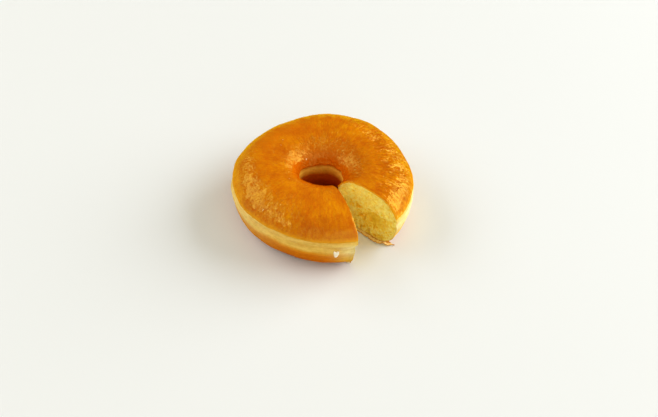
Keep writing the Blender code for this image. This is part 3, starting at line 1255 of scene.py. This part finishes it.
soft_crumb = crumb_material()
keep(crumb("crumb_right", False), soft_crumb)
keep(crumb("crumb_left", True), soft_crumb)

torn = torn_material()
right_tongue = torn_crust(
    "torn_crust_right", root=17.0, tip=50.3, thickness=0.4,
    base_azimuth=-36.0, edge_azimuth=-40.6, tip_azimuth=-33.0,
)
keep(right_tongue, torn)
left_tongue = torn_crust(
    "torn_crust_left", root=42.0, tip=46.3, thickness=0.5,
    base_azimuth=292.0, edge_azimuth=293.8, tip_azimuth=293.0,
)
keep(left_tongue, torn)

flake_share = SECTION.share_at_height(FLAKE_HEIGHT, True)
flake = sugar_flake(
    "icing_flake", FLAKE_OUTLINE, flake_share, FLAKE_AZIMUTH,
    lift=0.1, size=(3.3, 4.4), thickness=0.8, lean=0.1,
)
keep(flake, icing_material("dried_icing", (0.90, 0.74, 0.46), (0.96, 0.90, 0.74)))
keep(icing_specks(), icing_material("icing_grain", (0.85, 0.52, 0.16), (0.93, 0.72, 0.36)))
keep(foot_bead(), icing_material("set_drip", (0.70, 0.26, 0.015), (0.86, 0.46, 0.080)))


# ---------------------------------------------------------------- ground, light and camera


GROUND_SIZE = 4.8
LAMP_TARGET = Vector((0.0, 0.0, 0.02))
# The walls as the camera and the gloss see them low down, and as they are higher up.
LOW_WALL = (0.84, 0.83, 0.80)
HIGH_WALL = (0.340, 0.312, 0.205)
WALL_LIGHT = (0.350, 0.322, 0.215)


def floor():
    deselect()
    bpy.ops.mesh.primitive_plane_add(size=GROUND_SIZE, location=(0.0, 0.0, GROUND))
    ground = bpy.context.object
    ground.name = "ground"
    material, net = new_material("pale_ground")
    net.finish({
        "Base Color": (0.825, 0.85, 0.885),
        "Roughness": 0.6,
        "Specular IOR Level": 0.2,
    })
    ground.data.materials.append(material)


def softbox(name, azimuth, elevation, distance, size, power, colour):
    """A rectangular lamp that faces the object. Lengths are in metres and power is in watts."""
    light = bpy.data.lights.new(name, "AREA")
    light.shape = "RECTANGLE"
    light.size, light.size_y = size
    light.energy = power
    light.color = colour
    lamp = bpy.data.objects.new(name, light)
    bpy.context.scene.collection.objects.link(lamp)
    slope = math.radians(elevation)
    back = polar(math.cos(slope), azimuth, math.sin(slope))
    lamp.location = LAMP_TARGET + back * distance
    lamp.rotation_euler = back.to_track_quat("Z", "Y").to_euler()


def studio():
    """Dim warm walls that light the object evenly, and look pale low down."""
    world = bpy.data.worlds.new("studio")
    bpy.context.scene.world = world
    world.use_nodes = True
    net = Net(world.node_tree)
    direction = net.add("ShaderNodeTexCoord").outputs["Generated"]
    rise = net.add("ShaderNodeSeparateXYZ", {"Vector": direction}).outputs["Z"]
    walls = net.ramp(rise, ((0.03, LOW_WALL), (0.13, HIGH_WALL)))
    rays = net.add("ShaderNodeLightPath").outputs
    seen = net.maths("MAXIMUM", rays["Is Camera Ray"], rays["Is Glossy Ray"])
    seen = net.maths("MAXIMUM", seen, rays["Is Transmission Ray"])
    sky = net.nodes["Background"]
    net.feed(sky.inputs["Color"], net.mix(seen, WALL_LIGHT, walls))
    net.feed(sky.inputs["Strength"], 1.0)


def light_up():
    """A soft key from the right, a weak fill in front and a window on the left."""
    softbox("key", azimuth=20.0, elevation=27.0, distance=2.7, size=(2.8, 2.0), power=88.0,
            colour=(0.98, 0.99, 1.0))
    softbox("fill", azimuth=-60.0, elevation=24.0, distance=3.0, size=(4.2, 2.7), power=25.0,
            colour=(1.0, 0.98, 0.95))
    softbox("window", azimuth=172.0, elevation=35.0, distance=2.4, size=(3.1, 1.15), power=34.0,
            colour=(1.0, 0.99, 0.97))


def set_camera():
    """Looks down from the front, a little tilted, at a place beside the middle of the ring."""
    distance, elevation, roll = 0.450, math.radians(45.336), math.radians(4.441)
    target = in_frame(Vector((4.3, -2.0, 0.0)))
    back = Vector((0.0, -math.cos(elevation), math.sin(elevation)))
    level = Vector((1.0, 0.0, 0.0))
    upward = Vector((0.0, math.sin(elevation), math.cos(elevation)))
    right = level * math.cos(roll) + upward * math.sin(roll)
    up = upward * math.cos(roll) - level * math.sin(roll)
    data = bpy.data.cameras.new("camera")
    data.sensor_width = 36.0
    data.lens = 42.32
    data.clip_start, data.clip_end = 0.01, 20.0
    camera = bpy.data.objects.new("camera", data)
    bpy.context.scene.collection.objects.link(camera)
    turned = Matrix((right, up, back)).transposed().to_4x4()
    turned.translation = target + back * distance
    camera.matrix_world = turned
    bpy.context.scene.camera = camera


floor()
studio()
light_up()
set_camera()
bpy.context.scene.view_settings.view_transform = "Standard"
